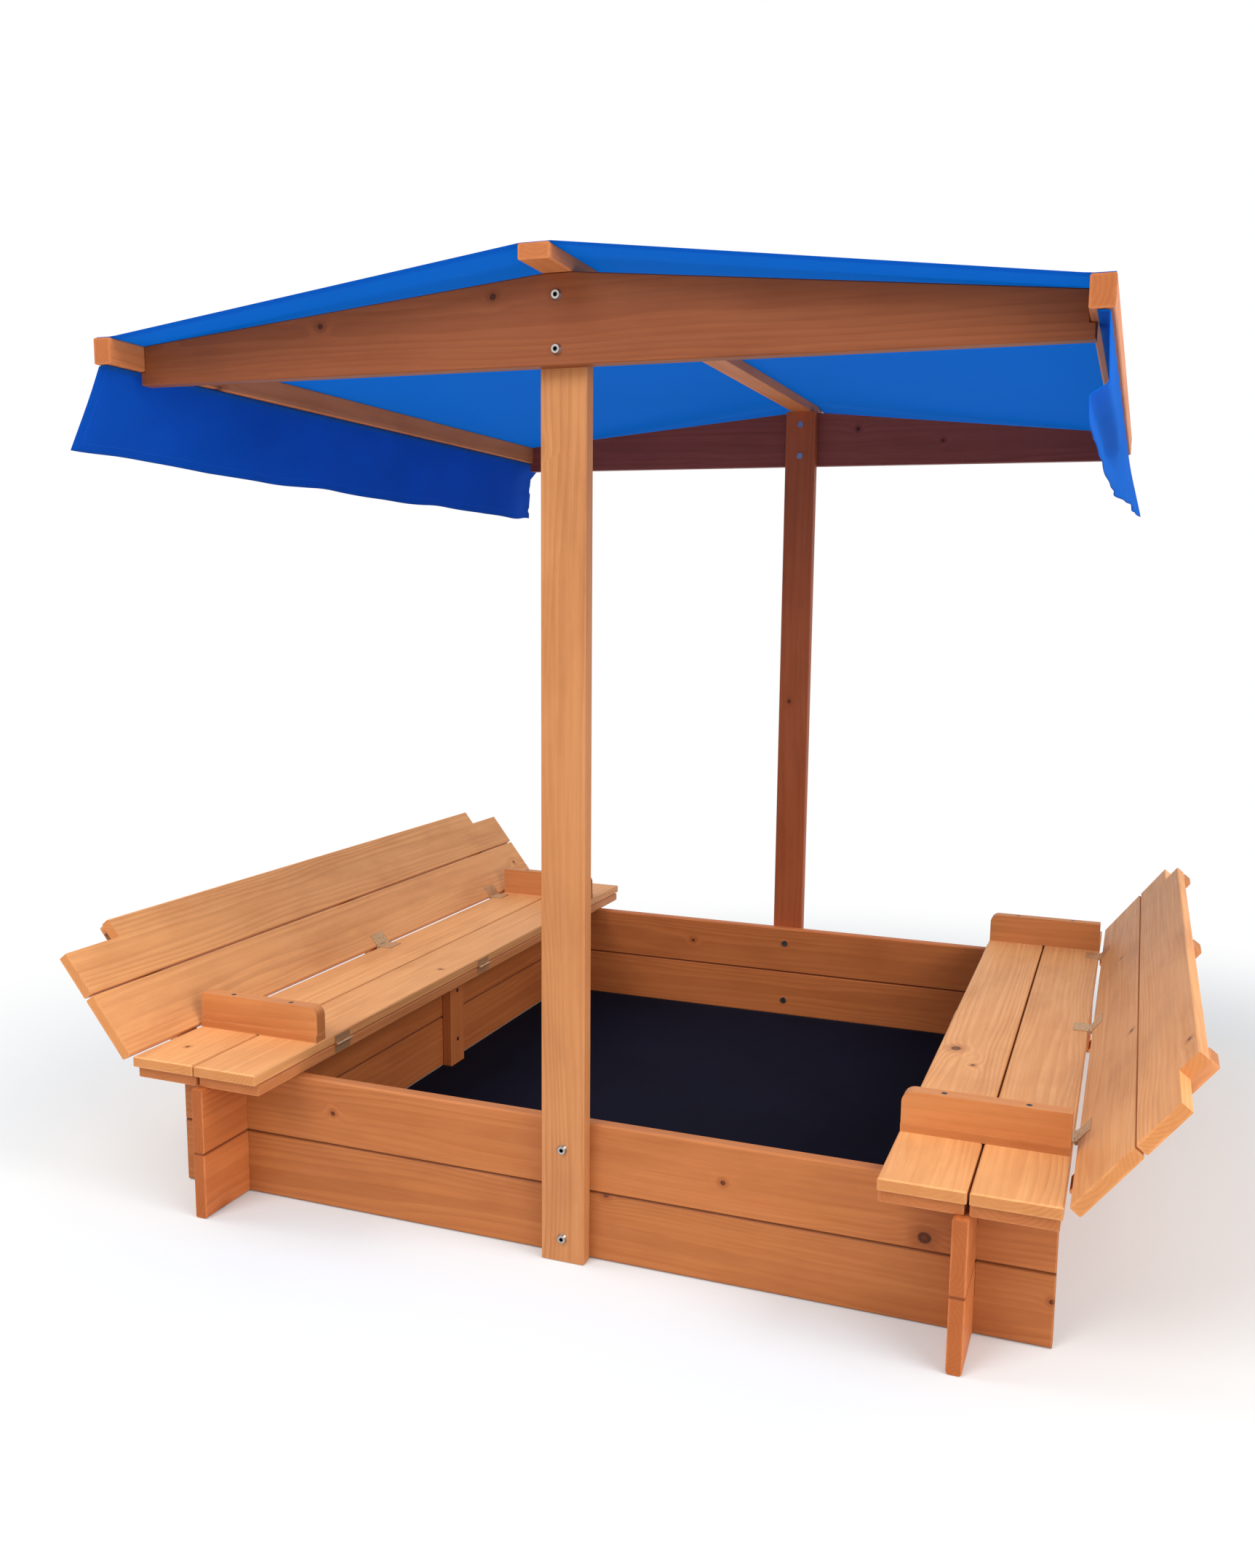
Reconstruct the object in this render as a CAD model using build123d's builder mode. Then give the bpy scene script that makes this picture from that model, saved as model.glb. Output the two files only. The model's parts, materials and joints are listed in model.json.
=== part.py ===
"""Timber sandbox with two benches that fold inwards into a lid, under a fabric roof.

Millimetres, +Z up.  X runs along the front wall, Y from the front wall to the back wall.
The origin is on the ground in the middle of the plan.
"""
import os
from math import cos, radians, sin

from build123d import *

# --- Walls ---------------------------------------------------------------------------------
plan_x = 1020.0          # outer face to outer face of the two side walls
plan_y = 1048.0          # outer face to outer face of the front and back walls
plank_height = 90.0      # two planks make a wall
wall_thickness = 18.0
stub_length = 89.0       # how far each plank runs past the corner
wall_chamfer = 2.5
lap_clearance = 0.4      # each side of a corner slot
cleat_width = 45.0
cleat_thickness = 18.0
cleat_offset = 25.0      # the cleats sit a little behind the middle of the side walls

# --- Posts and roof ------------------------------------------------------------------------
post_width = 58.5
post_thickness = 20.0
post_chamfer = 1.5
ridge_height = 1195.7    # underside of the ridge pole
ridge_width = 37.7
ridge_thickness = 17.4
roof_overhang = 96.0     # rails and ridge, past the front and back walls
rail_offset = 70.0       # outer face of a side wall to the inner face of its eave rail
rail_width = 24.6
rail_depth = 31.7
gable_height = 101.3
gable_thickness = 18.4
gable_lip = 6.0          # how far the gable reaches under a rail
gable_lip_height = 17.0
roof_chamfer = 1.5
fit_gap = 0.3            # between pieces that lie side by side without pressing

# --- Cloth ---------------------------------------------------------------------------------
cloth_thickness = 2.4
cloth_gap = 0.4
valance_drop = 112.0     # below the rail
valance_flap = 12.0      # turned in under the rail, where it is tacked
valance_inset = 4.0      # from the rail's outer face to the fold
valance_splay = 18.0     # how far the hem stands out from the fold
ground_sheet_thickness = 1.6
ground_sheet_gap = 0.6   # from the walls and cleats

# --- Benches -------------------------------------------------------------------------------
slat_thickness = 15.0
seat_slat_width = 97.0
slat_gap = 3.0
bench_overhang = 7.0     # past the ends of the front and back walls
seat_overhang = 86.0     # each end of a seat, past the front and back walls
base_slat_inset = 3.0    # a base slat is this much narrower than a seat slat
base_end_inset = 7.0     # and stops short of the seat at each end
slat_chamfer = 1.5
layer_gap = 1.0          # between the base layer and the seat layer
lid_rest_gap = 0.4       # between the folded seat and the wall it lies over

# --- Armrests ------------------------------------------------------------------------------
armrest_inset = 49.6     # outer face of the front or back wall to the armrest's outer face
armrest_thickness = 19.0
armrest_height = 50.0    # above the seat
armrest_corner = 14.0
armrest_setback = 0.8
strip_height = 10.4
strip_overhang = 2.4

# --- Backrests -----------------------------------------------------------------------------
back_lean = 52.0         # degrees above level when the bench is in use
back_edge_gap = 2.5      # between the hinge line and the first slat
back_hinge_offset = 3.5  # from the seat's outer edge to the hinge line
back_hinge_drop = 0.4    # hinge line below the seat's top face
lid_middle_gap = 10.0    # between the two halves of the closed lid
notch_side_gap = 5.75    # from a post's side to the closed lid
notch_face_gap = 10.0    # from a post's inner face to the closed lid
batten_width = 40.0
batten_thickness = 14.0
batten_setback = 7.0     # from a notch to the batten beside it
batten_tail = 24.0       # below the hinge line

# --- Hinges --------------------------------------------------------------------------------
hinge_setback = 20.0     # from an armrest to the hinge beside it
leaf_length = 36.0
leaf_thickness = 1.2
leaf_reach = 12.5        # hinge line to the far edge of a seat hinge leaf
back_leaf_reach = 25.0
knuckle_radius = 2.6
pin_radius = 1.1
bore_clearance = 0.3
knuckle_clearance = 0.4
seat_hinge_offset = 3.0  # hinge line inwards of the bench's inner edge
leaf_start = 0.3         # hinge line to the near edge of a leaf's tabs
leaf_relief = 0.6        # from the other leaf's knuckles to the plate
pin_overrun = 0.6

# --- Fasteners -----------------------------------------------------------------------------
bolt_radius = 3.0
bolt_head_radius = 6.5
bolt_head_height = 3.6
bolt_head_taper = 24.0
socket_radius = 2.2
socket_depth = 2.0
nut_radius = 6.0
nut_head_height = 1.8
wall_bolt_edge = 30.8    # from the top or bottom of a wall to a bolt
gable_bolt_rises = (17.8, 76.8)  # from the bottom of a gable to its bolts
screw_radius = 1.8
screw_head_radius = 3.6
screw_head_height = 2.2
screw_bite = 0.65        # share of the last board's thickness that a screw goes into
base_screw_bite = 25.0   # into the top edge of a wall
base_screw_clearance = 12.0  # least distance from a base screw to the side wall's faces
ridge_screw_bite = 18.0  # into the top of a post
rail_screw_bite = 30.0   # into the end of a gable
wood_hold = 0.2          # a screw's hole is this much wider than its shank
slat_screws = (0.25, 0.75)  # places of a pair of screws, as shares of what they cross

# --- Worked out from the values above ------------------------------------------------------
wall_height = 2 * plank_height
front_length = plan_x + 2 * stub_length
side_length = plan_y + 2 * stub_length
wall_bolt_heights = (wall_bolt_edge, wall_height - wall_bolt_edge)

gable_bottom = ridge_height - gable_height
gable_bolt_heights = [gable_bottom + rise for rise in gable_bolt_rises]
rail_bottom = gable_bottom + gable_lip_height
rail_top = rail_bottom + rail_depth
rail_inner = plan_x / 2 + rail_offset
rail_outer = rail_inner + rail_width
post_outer = plan_y / 2 + post_thickness
roof_length = plan_y + 2 * roof_overhang

base_top = wall_height + slat_thickness
seat_bottom = base_top + layer_gap
seat_top = seat_bottom + slat_thickness
bench_outer = plan_x / 2 + stub_length + bench_overhang
bench_inner = bench_outer - 2 * seat_slat_width - slat_gap
base_slat_width = seat_slat_width - base_slat_inset
seat_half_length = plan_y / 2 + seat_overhang
base_half_length = seat_half_length - base_end_inset
armrest_face = plan_y / 2 - armrest_inset

seat_axis_x = bench_inner - seat_hinge_offset
seat_axis_z = base_top + (layer_gap + lid_rest_gap) / 2
back_axis_x = bench_outer + back_hinge_offset
back_axis_z = seat_top - back_hinge_drop
folded_back_axis_x = 2 * seat_axis_x - back_axis_x
back_height = folded_back_axis_x - lid_middle_gap / 2
back_slat_width = (back_height - back_edge_gap - slat_gap) / 2
notch_width = post_width / 2 + notch_side_gap - lid_middle_gap / 2
notch_length = seat_overhang + notch_face_gap
batten_reach = seat_half_length - notch_length - batten_setback - batten_width / 2
batten_places = (-batten_reach, 0, batten_reach)
hinge_reach = armrest_face - armrest_thickness - hinge_setback - leaf_length / 2
hinge_places = (-hinge_reach, 0, hinge_reach)
overcut = 1.0            # how far a cut runs past the face that it opens

parts_folder = "parts"
os.makedirs(parts_folder, exist_ok=True)


def write(piece, name):
    """Label a finished piece and write its STEP file."""
    piece.part.label = name
    export_step(piece.part, os.path.join(parts_folder, name + ".step"))


def middle_of(low, high):
    """The centre of a box between two corners."""
    return tuple((a + b) / 2 for a, b in zip(low, high))


def add_box(low, high, mode=Mode.ADD):
    """Add or cut the box between two corners."""
    with Locations(middle_of(low, high)):
        Box(*(b - a for a, b in zip(low, high)), mode=mode)


def add_rod(start, axis, length, radius, mode=Mode.ADD):
    """Add or cut a round rod from a point, along an axis."""
    with BuildSketch(Plane(origin=start, z_dir=axis)) as section:
        Circle(radius)
    extrude(section.sketch, amount=length, mode=mode)


def add_cone(start, axis, start_radius, end_radius, height, mode=Mode.ADD):
    """Add or cut the tapered head of a countersunk screw."""
    plane = Plane(origin=start, z_dir=axis)
    with BuildSketch(plane) as wide:
        Circle(start_radius)
    with BuildSketch(plane.offset(height)) as narrow:
        Circle(end_radius)
    loft([wide.sketch.face(), narrow.sketch.face()], mode=mode)


def wood_screw(start, axis, length):
    """A countersunk screw whose head is flush with the face that holds the start point."""
    add_cone(start, axis, screw_head_radius, screw_radius, screw_head_height)
    add_rod(start, axis, length, screw_radius)
    with BuildSketch(Plane(origin=start, z_dir=axis)) as cross:
        Rectangle(screw_head_radius, screw_radius / 3)
        Rectangle(screw_radius / 3, screw_head_radius)
    extrude(cross.sketch, amount=screw_head_height / 2, mode=Mode.SUBTRACT)


def cut_screw_seat(start, axis, length):
    """The hole that a wood screw sits in."""
    add_cone(start, axis, screw_head_radius + wood_hold, screw_radius + wood_hold,
             screw_head_height + wood_hold, mode=Mode.SUBTRACT)
    add_rod(start, axis, length + wood_hold, screw_radius + wood_hold, mode=Mode.SUBTRACT)


def screw_group(places):
    """Identical screws kept together as separate solids."""
    with BuildPart() as group:
        for start, axis, length in places:
            wood_screw(start, axis, length)
    return group


# --- Fastener places, shared by the screws and by the wood they pass through ---------------
def along_y(side):
    return (0, side, 0)


def post_bolts(heights, outer, inner):
    """Start point, direction and grip of the bolts through each post, from outside inwards."""
    return [((0, side * outer, z), along_y(-side), outer - inner)
            for side in (-1, 1) for z in heights]


gable_outer = post_outer + gable_thickness
wall_bolts = post_bolts(wall_bolt_heights, post_outer, plan_y / 2 - wall_thickness)
gable_bolts = post_bolts(gable_bolt_heights, gable_outer, plan_y / 2)

cleat_face = plan_x / 2 - wall_thickness - cleat_thickness
cleat_screw_length = cleat_thickness + wall_thickness * screw_bite
cleat_screws = [((side * cleat_face, cleat_offset, z), (side, 0, 0), cleat_screw_length)
                for side in (-1, 1)
                for z in (plank_height / 2, plank_height * 1.5)]

base_slat_middles = [bench_inner + base_slat_width / 2 + i * (seat_slat_width + slat_gap)
                     for i in (0, 1)]
base_screw_length = slat_thickness + base_screw_bite
base_screw_spread = base_slat_width / 4
inner_slat_middle, outer_slat_middle = base_slat_middles
base_screw_rows = (
    inner_slat_middle - base_screw_spread,
    min(inner_slat_middle + base_screw_spread,
        plan_x / 2 - wall_thickness - base_screw_clearance),
    max(outer_slat_middle - base_screw_spread, plan_x / 2 + base_screw_clearance),
    outer_slat_middle + base_screw_spread,
)
base_screws = [((side * x, end * (plan_y - wall_thickness) / 2, base_top),
                (0, 0, -1), base_screw_length)
               for side in (-1, 1) for end in (-1, 1) for x in base_screw_rows]

ridge_screw_length = ridge_thickness + ridge_screw_bite
rail_screw_length = rail_width + rail_screw_bite
roof_screws = [((0, end * (plan_y + post_thickness) / 2, ridge_height + ridge_thickness),
                (0, 0, -1), ridge_screw_length) for end in (-1, 1)]
roof_screws += [((side * rail_outer, end * (post_outer + gable_thickness / 2),
                  rail_bottom + rail_depth / 2), (-side, 0, 0), rail_screw_length)
                for side in (-1, 1) for end in (-1, 1)]


# --- Walls ---------------------------------------------------------------------------------
def cut_screws(screws, low, high):
    """Cut the seats of the screws whose start lies on or near the box between two corners."""
    for start, axis, length in screws:
        end = tuple(s + a * length for s, a in zip(start, axis))
        if all(min(s, e) <= h and max(s, e) >= l
               for s, e, l, h in zip(start, end, low, high)):
            cut_screw_seat(start, axis, length)


def end_plank(side, level):
    """A front or back plank, slotted from above at both corners."""
    bottom = level * plank_height
    inner, outer = plan_y / 2 - wall_thickness, plan_y / 2
    low_y, high_y = sorted((side * inner, side * outer))
    low = (-front_length / 2, low_y, bottom)
    high = (front_length / 2, high_y, bottom + plank_height)
    holes = [(start, axis, grip, bolt_radius + wood_hold) for start, axis, grip in wall_bolts]
    with BuildPart() as piece:
        add_box(low, high)
        chamfer(piece.edges().filter_by(Axis.X), wall_chamfer)
        chamfer(piece.edges().filter_by(Axis.Z), wall_chamfer / 2)
        for corner in (-1, 1):
            near = plan_x / 2 - wall_thickness - lap_clearance
            far = plan_x / 2 + lap_clearance
            slot = sorted((corner * near, corner * far))
            add_box((slot[0], low_y, bottom + plank_height / 2),
                    (slot[1], high_y, bottom + plank_height), mode=Mode.SUBTRACT)
        for start, axis, grip, radius in holes:
            if bottom < start[2] < bottom + plank_height and start[1] * side > 0:
                add_rod(start, axis, grip, radius, mode=Mode.SUBTRACT)
        cut_screws(base_screws, low, high)
    return piece


def side_plank(side, level):
    """A left or right plank, slotted from below at both corners."""
    bottom = level * plank_height
    low_x, high_x = sorted((side * (plan_x / 2 - wall_thickness), side * plan_x / 2))
    low = (low_x, -side_length / 2, bottom)
    high = (high_x, side_length / 2, bottom + plank_height)
    with BuildPart() as piece:
        add_box(low, high)
        chamfer(piece.edges().filter_by(Axis.Y), wall_chamfer)
        chamfer(piece.edges().filter_by(Axis.Z), wall_chamfer / 2)
        for corner in (-1, 1):
            near = plan_y / 2 - wall_thickness - lap_clearance
            far = plan_y / 2 + lap_clearance
            slot = sorted((corner * near, corner * far))
            add_box((low_x, slot[0], bottom),
                    (high_x, slot[1], bottom + plank_height / 2), mode=Mode.SUBTRACT)
        cut_screws(cleat_screws, low, high)
    return piece


for level, level_name in enumerate(("lower", "upper")):
    for side, end_name in ((-1, "front"), (1, "back")):
        write(end_plank(side, level), f"wall_{end_name}_{level_name}")
    for side, side_name in ((-1, "left"), (1, "right")):
        write(side_plank(side, level), f"wall_{side_name}_{level_name}")


def wall_cleat(side):
    """The upright that ties the two planks of a side wall together."""
    low_x, high_x = sorted((side * cleat_face, side * (cleat_face + cleat_thickness)))
    low = (low_x, cleat_offset - cleat_width / 2, 0)
    high = (high_x, cleat_offset + cleat_width / 2, wall_height)
    with BuildPart() as piece:
        add_box(low, high)
        chamfer(piece.edges().filter_by(Axis.Z), slat_chamfer)
        cut_screws(cleat_screws, low, high)
    return piece


for side, side_name in ((-1, "left"), (1, "right")):
    write(wall_cleat(side), f"wall_cleat_{side_name}")


# --- Posts, gables and roof timbers --------------------------------------------------------
def post(side):
    """An upright bolted to the outer face of the front or back wall."""
    low_y, high_y = sorted((side * plan_y / 2, side * post_outer))
    low = (-post_width / 2, low_y, 0)
    high = (post_width / 2, high_y, ridge_height)
    with BuildPart() as piece:
        add_box(low, high)
        chamfer(piece.edges().filter_by(Axis.Z), post_chamfer)
        for start, axis, grip in wall_bolts + gable_bolts:
            if start[1] * side > 0:
                add_rod(start, axis, grip, bolt_radius + wood_hold, mode=Mode.SUBTRACT)
        cut_screws(roof_screws, low, high)
    return piece


def gable(side):
    """The long shallow gable board, with a step at each end that carries an eave rail."""
    start_y = side * post_outer
    reach = rail_inner - fit_gap
    slope_start = ridge_width / 2
    plane = Plane(origin=(0, start_y, 0), x_dir=(1, 0, 0), z_dir=(0, side, 0))
    mirror_z = -1 if plane.y_dir.Z < 0 else 1
    outline = [(-rail_inner - gable_lip, gable_bottom), (rail_inner + gable_lip, gable_bottom),
               (rail_inner + gable_lip, rail_bottom), (reach, rail_bottom), (reach, rail_top),
               (slope_start, ridge_height), (-slope_start, ridge_height), (-reach, rail_top),
               (-reach, rail_bottom), (-rail_inner - gable_lip, rail_bottom)]
    with BuildPart() as piece:
        with BuildSketch(plane):
            with BuildLine():
                Polyline(*[(x, mirror_z * z) for x, z in outline], close=True)
            make_face()
        extrude(amount=gable_thickness)
        outer_face = piece.faces().sort_by(Axis.Y)[-1 if side > 0 else 0]
        chamfer(outer_face.edges(), roof_chamfer)
        for start, axis, grip in gable_bolts:
            if start[1] * side > 0:
                add_rod(start, axis, grip, bolt_radius + wood_hold, mode=Mode.SUBTRACT)
        for start, axis, length in roof_screws:
            if start[1] * side > 0 and abs(start[0]) > post_width:
                cut_screw_seat(start, axis, length)
    return piece


for side, end_name in ((-1, "front"), (1, "back")):
    write(post(side), f"post_{end_name}")
    write(gable(side), f"gable_{end_name}")


def roof_timber(low, high):
    """A rail or the ridge pole, eased along its length and drilled for its screws."""
    with BuildPart() as piece:
        add_box(low, high)
        chamfer(piece.edges().filter_by(Axis.Y), roof_chamfer)
        cut_screws(roof_screws, low, high)
    return piece


ridge_pole = roof_timber((-ridge_width / 2, -roof_length / 2, ridge_height),
                         (ridge_width / 2, roof_length / 2, ridge_height + ridge_thickness))
write(ridge_pole, "ridge_pole")
for side, side_name in ((-1, "left"), (1, "right")):
    low_x, high_x = sorted((side * rail_inner, side * rail_outer))
    rail = roof_timber((low_x, -roof_length / 2, rail_bottom),
                       (high_x, roof_length / 2, rail_top))
    write(rail, f"eave_rail_{side_name}")


# --- Cloth ---------------------------------------------------------------------------------
ridge_top = ridge_height + ridge_thickness
with BuildPart() as canopy:
    under = [(-rail_outer, rail_top + cloth_gap), (-ridge_width / 2, ridge_top + cloth_gap),
             (ridge_width / 2, ridge_top + cloth_gap), (rail_outer, rail_top + cloth_gap)]
    over = [(x, z + cloth_thickness) for x, z in reversed(under)]
    with BuildSketch(Plane.XZ):
        with BuildLine():
            Polyline(*under, *over, close=True)
        make_face()
    extrude(amount=roof_length / 2, both=True)
write(canopy, "canopy")


def valance(side):
    """A strip of cloth with a flap under an eave rail, splayed out a little at its hem."""
    top = rail_bottom - cloth_gap
    fold = rail_outer - valance_inset
    hem = top - valance_drop
    outline = [(fold - valance_flap, top), (fold, top), (fold + valance_splay, hem),
               (fold + valance_splay - cloth_thickness, hem),
               (fold - cloth_thickness, top - cloth_thickness),
               (fold - valance_flap, top - cloth_thickness)]
    with BuildPart() as piece:
        with BuildSketch(Plane.XZ):
            with BuildLine():
                Polyline(*[(side * x, z) for x, z in outline], close=True)
            make_face()
        extrude(amount=roof_length / 2, both=True)
    return piece


for side, side_name in ((-1, "left"), (1, "right")):
    write(valance(side), f"valance_{side_name}")

with BuildPart() as ground_sheet:
    sheet_x = plan_x / 2 - wall_thickness - ground_sheet_gap
    sheet_y = plan_y / 2 - wall_thickness - ground_sheet_gap
    add_box((-sheet_x, -sheet_y, 0), (sheet_x, sheet_y, ground_sheet_thickness))
    for side in (-1, 1):
        low_x, high_x = sorted((side * (cleat_face - ground_sheet_gap), side * sheet_x))
        half_width = cleat_width / 2 + ground_sheet_gap
        add_box((low_x, cleat_offset - half_width, 0),
                (high_x, cleat_offset + half_width, ground_sheet_thickness),
                mode=Mode.SUBTRACT)
write(ground_sheet, "ground_sheet")


# --- Bolts and nuts through the posts ------------------------------------------------------
def bolt_group(bolts):
    """Button-head bolts with a hexagon socket."""
    with BuildPart() as group:
        for start, axis, grip in bolts:
            out = tuple(-a for a in axis)
            with BuildSketch(Plane(origin=start, z_dir=out)):
                Circle(bolt_head_radius)
            extrude(amount=bolt_head_height, taper=bolt_head_taper)
            face = tuple(s + o * bolt_head_height for s, o in zip(start, out))
            with BuildSketch(Plane(origin=face, z_dir=axis)):
                RegularPolygon(socket_radius, 6)
            extrude(amount=socket_depth, mode=Mode.SUBTRACT)
            add_rod(start, axis, grip, bolt_radius)
    return group


def nut_group(bolts):
    """Nuts whose flat heads lie on the inner face of the wood."""
    with BuildPart() as group:
        for start, axis, grip in bolts:
            inner = tuple(s + a * grip for s, a in zip(start, axis))
            add_rod(inner, axis, nut_head_height, nut_radius)
    return group


write(bolt_group(wall_bolts), "wall_bolts")
write(bolt_group(gable_bolts), "gable_bolts")
write(nut_group(wall_bolts + gable_bolts), "barrel_nuts")
write(screw_group(cleat_screws + base_screws + roof_screws), "frame_screws")


# --- Benches -------------------------------------------------------------------------------
def slat_span(number, width):
    """Inner and outer edge of the first or second slat of a bench, from the middle."""
    inner = bench_inner + number * (seat_slat_width + slat_gap)
    return inner, inner + width


def base_slat(side, number):
    """A slat fixed to the top of the walls, which the folding seat rests on."""
    inner, outer = slat_span(number, base_slat_width)
    low_x, high_x = sorted((side * inner, side * outer))
    low = (low_x, -base_half_length, wall_height)
    high = (high_x, base_half_length, base_top)
    with BuildPart() as piece:
        add_box(low, high)
        chamfer(piece.edges().filter_by(Axis.Y), slat_chamfer)
        chamfer(piece.faces().filter_by(Axis.Y).edges().filter_by(Axis.X), slat_chamfer)
        cut_screws(base_screws, low, high)
    return piece


armrest_inner_x = bench_inner + armrest_setback
armrest_outer_x = bench_outer - armrest_setback
armrest_middle_y = armrest_face - armrest_thickness / 2
armrest_top = seat_top + armrest_height
armrest_span = armrest_outer_x - armrest_inner_x
armrest_screw_length = armrest_height + slat_thickness * screw_bite


def armrest_screws(side):
    """Two screws go down through each armrest and its strip into the seat."""
    return [((side * (armrest_inner_x + share * armrest_span), end * armrest_middle_y,
              armrest_top), (0, 0, -1), armrest_screw_length)
            for end in (-1, 1) for share in slat_screws]


def seat_slat(side, number):
    """A slat of the folding seat."""
    inner, outer = slat_span(number, seat_slat_width)
    low_x, high_x = sorted((side * inner, side * outer))
    low = (low_x, -seat_half_length, seat_bottom)
    high = (high_x, seat_half_length, seat_top)
    with BuildPart() as piece:
        add_box(low, high)
        chamfer(piece.edges().filter_by(Axis.Y), slat_chamfer)
        chamfer(piece.faces().filter_by(Axis.Y).edges().filter_by(Axis.X), slat_chamfer)
        cut_screws(armrest_screws(side), low, high)
    return piece


def armrest(side, end):
    """An upright board across the seat, rounded at its inner top corner."""
    low_x, high_x = sorted((side * armrest_inner_x, side * armrest_outer_x))
    low_y, high_y = sorted((end * armrest_face, end * (armrest_face - armrest_thickness)))
    low = (low_x, low_y, seat_top + strip_height)
    high = (high_x, high_y, armrest_top)
    with BuildPart() as piece:
        add_box(low, high)
        inner_edges = piece.edges().filter_by(Axis.Y).group_by(Axis.Z)[-1]
        corner = inner_edges.sort_by(Axis.X)[0 if side > 0 else -1]
        fillet(corner, armrest_corner)
        cut_screws(armrest_screws(side), low, high)
    return piece


def armrest_strips(side):
    """The two strips that the armrests stand on; they also tie the two seat slats together."""
    low_x, high_x = sorted((side * armrest_inner_x, side * armrest_outer_x))
    with BuildPart() as group:
        for end in (-1, 1):
            outer_y = end * (armrest_face + strip_overhang)
            inner_y = end * (armrest_face - armrest_thickness)
            low_y, high_y = sorted((outer_y, inner_y))
            add_box((low_x, low_y, seat_top), (high_x, high_y, seat_top + strip_height))
        for start, axis, length in armrest_screws(side):
            cut_screw_seat(start, axis, length)
    return group


# --- Backrests -----------------------------------------------------------------------------
lean = radians(back_lean)


def back_plane(side, y, along=0.0, behind=0.0):
    """A plane on a backrest's front face: local X runs up the backrest, local Z points behind."""
    x = back_axis_x + along * cos(lean) + behind * sin(lean)
    z = back_axis_z + along * sin(lean) - behind * cos(lean)
    return Plane(origin=(side * x, y, z), x_dir=(side * cos(lean), 0, sin(lean)),
                 z_dir=(side * sin(lean), 0, -cos(lean)))


def back_box(side, low, high, mode=Mode.ADD):
    """A box in a backrest's own directions: up the backrest, along the bench, behind it."""
    size = [b - a for a, b in zip(low, high)]
    middle = middle_of(low, high)
    with BuildSketch(back_plane(side, middle[1], middle[0], low[2])) as section:
        Rectangle(size[0], size[1])
    extrude(section.sketch, amount=size[2], mode=mode)


def batten_screws(side):
    """Start points and direction of the screws that hold the battens to the back slats."""
    screws = []
    for y in batten_places:
        for number in (0, 1):
            for share in slat_screws:
                along = back_edge_gap + number * (back_slat_width + slat_gap)
                plane = back_plane(side, y, along + share * back_slat_width,
                                   slat_thickness + batten_thickness)
                screws.append((tuple(plane.origin), tuple(-plane.z_dir),
                               batten_thickness + slat_thickness * screw_bite))
    return screws


def back_slat(side, number):
    """A backrest slat; the one at the free edge is notched to pass the posts."""
    bottom = back_edge_gap + number * (back_slat_width + slat_gap)
    top = bottom + back_slat_width
    with BuildPart() as piece:
        back_box(side, (bottom, -seat_half_length, 0), (top, seat_half_length, slat_thickness))
        chamfer(piece.edges().filter_by(Axis.Y), slat_chamfer)
        if number == 1:
            for end in (-1, 1):
                low_y, high_y = sorted((end * (seat_half_length - notch_length),
                                        end * (seat_half_length + overcut)))
                back_box(side, (top - notch_width, low_y, 0),
                         (top + overcut, high_y, slat_thickness), mode=Mode.SUBTRACT)
        for start, axis, length in batten_screws(side):
            cut_screw_seat(start, axis, length)
    return piece


def back_battens(side):
    """Three battens behind a backrest; their tails keep the lid flat when it is closed."""
    with BuildPart() as group:
        for y in batten_places:
            back_box(side, (-batten_tail, y - batten_width / 2, slat_thickness),
                     (back_height, y + batten_width / 2, slat_thickness + batten_thickness))
        chamfer(group.edges().filter_by(Axis.Y), slat_chamfer)
        for start, axis, length in batten_screws(side):
            cut_screw_seat(start, axis, length)
    return group


# --- Hinges --------------------------------------------------------------------------------
knuckle_length = (leaf_length - 2 * knuckle_clearance) / 3


def knuckle_spans(outer_pair):
    """The stretches of a hinge's length that one leaf's knuckles fill."""
    step = knuckle_length + knuckle_clearance
    numbers = (0, 2) if outer_pair else (1,)
    return [(n * step - leaf_length / 2, n * step - leaf_length / 2 + knuckle_length)
            for n in numbers]


def plane_box(plane, low, high):
    """A box between two corners given in a plane's own directions."""
    middle = middle_of(low, high)
    with BuildSketch(plane.offset(low[2])) as section:
        with Locations((middle[0], middle[1])):
            Rectangle(high[0] - low[0], high[1] - low[1])
    extrude(section.sketch, amount=high[2] - low[2])


def hinge_leaves(planes, level, reach, outer_pair):
    """One leaf of each hinge on a line: a plate with tabs that run into its own knuckles.

    Each plane has its origin on the hinge line, local X across the plate, away from the line.
    """
    top = level + leaf_thickness
    plate_start = knuckle_radius + leaf_relief
    bore = pin_radius + (bore_clearance if outer_pair else 0)
    with BuildPart() as group:
        for plane in planes:
            plane_box(plane, (plate_start, -leaf_length / 2, level), (reach, leaf_length / 2, top))
            for low_y, high_y in knuckle_spans(outer_pair):
                plane_box(plane, (leaf_start, low_y, level), (plate_start, high_y, top))
                add_rod(plane.origin + plane.y_dir * low_y, plane.y_dir, high_y - low_y,
                        knuckle_radius)
            add_rod(plane.origin - plane.y_dir * leaf_length / 2, plane.y_dir, leaf_length, bore,
                    mode=Mode.SUBTRACT)
    return group


def hinge_pins(lines):
    """A pin for each hinge, from the middle of the hinge line."""
    with BuildPart() as group:
        for x, y, z in lines:
            add_rod((x, y - leaf_length / 2 - pin_overrun, z), (0, 1, 0),
                    leaf_length + 2 * pin_overrun, pin_radius)
    return group


def hinge_planes(axis_x, axis_z, places, across, normal):
    """The plane of a leaf at each hinge of a line."""
    return [Plane(origin=(axis_x, y, axis_z), x_dir=across, z_dir=normal) for y in places]


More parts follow.
